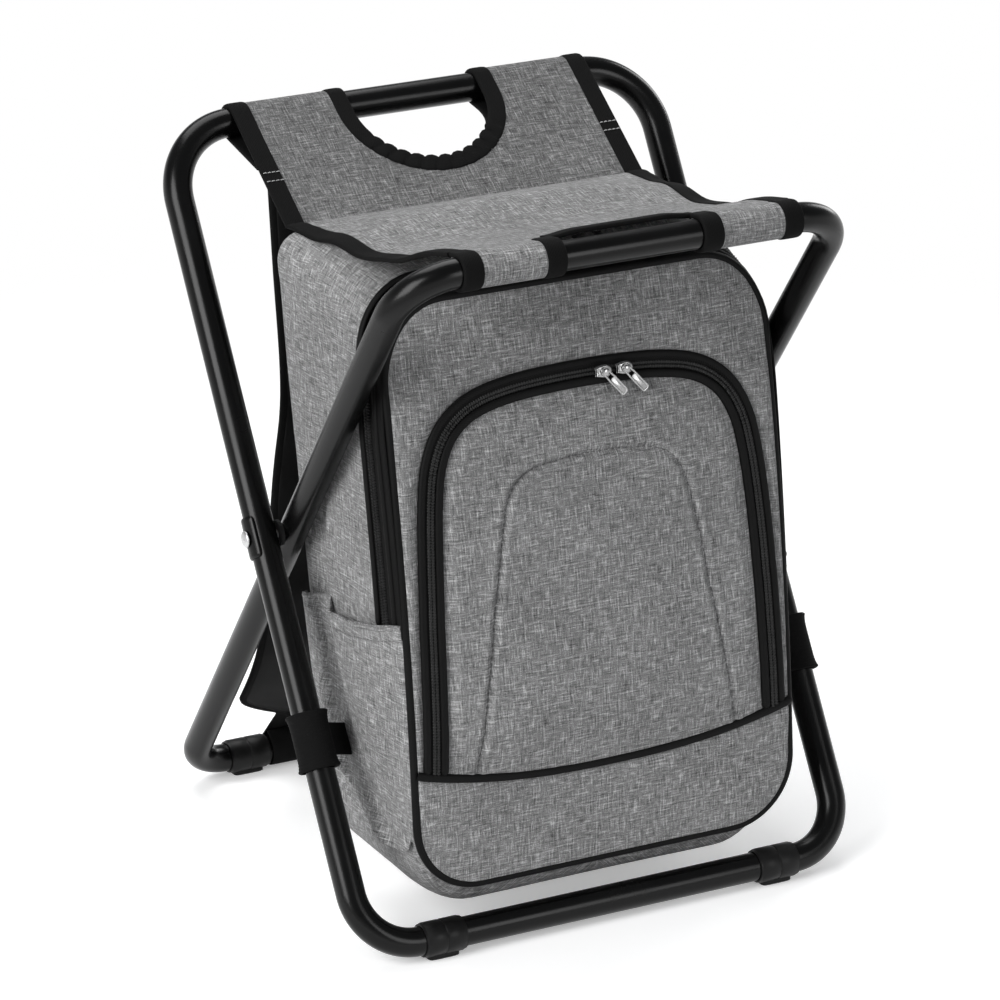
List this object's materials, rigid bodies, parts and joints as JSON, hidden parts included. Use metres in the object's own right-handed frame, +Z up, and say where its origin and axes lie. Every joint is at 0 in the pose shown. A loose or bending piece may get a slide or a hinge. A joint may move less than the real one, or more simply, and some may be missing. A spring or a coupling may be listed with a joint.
{
  "type": "folding cooler stool",
  "caption": "Folding X-frame stool with a cloth seat and an insulated backpack with zip cover, pockets and padded straps hung between its legs.",
  "frame": {"origin": "on the floor, under the middle of the stool's overall box", "axes": "+Z up, -Y the front with the bag's cover, +X to the right seen from the front"},
  "size_m": [0.3778, 0.35, 0.4824],
  "materials": {
    "frame_tube": "satin black powder coat",
    "black_plastic": "fine satin",
    "rivet_steel": "plain",
    "zip_metal": "polished",
    "grey_cloth": "heather grey woven polyester",
    "webbing": "black woven webbing and binding",
    "zip_tape": "black coil zip tape",
    "mesh_fabric": "black open mesh",
    "lining": "grey wipe-clean lining"
  },
  "bodies": {
    "outer_frame": {"outer_hoop": "frame_tube", "outer_floor_tube": "frame_tube", "outer_foot_left": "black_plastic", "outer_foot_right": "black_plastic", "pivot_rivet_left": "rivet_steel", "pivot_rivet_right": "rivet_steel", "pivot_plate_left": "frame_tube", "pivot_plate_right": "frame_tube", "pivot_spacer_left": "black_plastic", "pivot_spacer_right": "black_plastic", "seat_rear_panel": "grey_cloth", "seat_front_panel": "grey_cloth", "shoulder_strap_left": "webbing", "shoulder_strap_right": "webbing", "leg_loop_left": "webbing", "leg_loop_right": "webbing", "bag_front_lower": "grey_cloth", "bag_back_panel": "grey_cloth", "bag_top_strip": "grey_cloth", "bag_bottom_strip": "grey_cloth", "bag_side_left": "grey_cloth", "bag_side_right": "grey_cloth", "side_pocket_left": "grey_cloth", "side_pocket_right": "grey_cloth", "mesh_divider": "mesh_fabric", "main_zip_tape": "zip_tape", "front_pocket_lower": "grey_cloth"},
    "inner_frame": {"inner_hoop": "frame_tube", "inner_floor_tube": "frame_tube", "inner_foot_left": "black_plastic", "inner_foot_right": "black_plastic", "front_sleeve_left": "grey_cloth", "front_sleeve_right": "grey_cloth", "strap_loop_left": "webbing", "strap_loop_right": "webbing"},
    "front_cover": {"front_cover": "grey_cloth", "front_pocket_upper": "grey_cloth"},
    "pocket_zip_left_slider": {"pocket_zip_left_slider": "zip_metal"},
    "pocket_zip_left_tab": {"pocket_zip_left_tab": "zip_metal"},
    "pocket_zip_right_slider": {"pocket_zip_right_slider": "zip_metal"},
    "pocket_zip_right_tab": {"pocket_zip_right_tab": "zip_metal"},
    "main_zip_left_slider": {"main_zip_left_slider": "zip_metal"},
    "main_zip_left_tab": {"main_zip_left_tab": "zip_metal"},
    "main_zip_right_slider": {"main_zip_right_slider": "zip_metal"},
    "main_zip_right_tab": {"main_zip_right_tab": "zip_metal"}
  },
  "joints": [
    {"name": "frame_fold", "type": "hinge", "parent": "outer_frame", "child": "inner_frame", "pos_m": [0, -0.00549, 0.243], "axis": [-1, 0, 0], "range_deg": [0, 62], "deforming": ["seat_front_panel", "shoulder_strap_left", "shoulder_strap_right", "leg_loop_left", "leg_loop_right"]},
    {"name": "cover_open", "type": "hinge", "parent": "outer_frame", "child": "front_cover", "pos_m": [0, -0.13158, 0.2175], "axis": [1, 0, 0], "range_deg": [0, 100]},
    {"name": "pocket_zip_left_slide", "type": "slide", "parent": "front_cover", "child": "pocket_zip_left_slider", "axis": [1, 0, 0], "range_m": [-0.046, 0]},
    {"name": "pocket_zip_left_swing", "type": "hinge", "parent": "pocket_zip_left_slider", "child": "pocket_zip_left_tab", "pos_m": [0.012, -0.10978, 0.358], "axis": [0, -0.9746, 0.2238], "range_deg": [-100, 10]},
    {"name": "pocket_zip_right_slide", "type": "slide", "parent": "front_cover", "child": "pocket_zip_right_slider", "axis": [1, 0, 0], "range_m": [0, 0.007]},
    {"name": "pocket_zip_right_swing", "type": "hinge", "parent": "pocket_zip_right_slider", "child": "pocket_zip_right_tab", "pos_m": [0.027, -0.10978, 0.358], "axis": [0, -0.9746, 0.2238], "range_deg": [-15, 100]},
    {"name": "main_zip_left_slide", "type": "slide", "parent": "outer_frame", "child": "main_zip_left_slider", "axis": [1, 0, 0], "range_m": [-0.1, 0]},
    {"name": "main_zip_left_swing", "type": "hinge", "parent": "main_zip_left_slider", "child": "main_zip_left_tab", "pos_m": [0.022, -0.0717, 0.42012], "axis": [0, -0.275, 0.9614], "range_deg": [-15, 90]},
    {"name": "main_zip_right_slide", "type": "slide", "parent": "outer_frame", "child": "main_zip_right_slider", "axis": [1, 0, 0], "range_m": [0, 0.043]},
    {"name": "main_zip_right_swing", "type": "hinge", "parent": "main_zip_right_slider", "child": "main_zip_right_tab", "pos_m": [0.037, -0.0717, 0.42012], "axis": [0, -0.275, 0.9614], "range_deg": [-90, 15]}
  ]
}
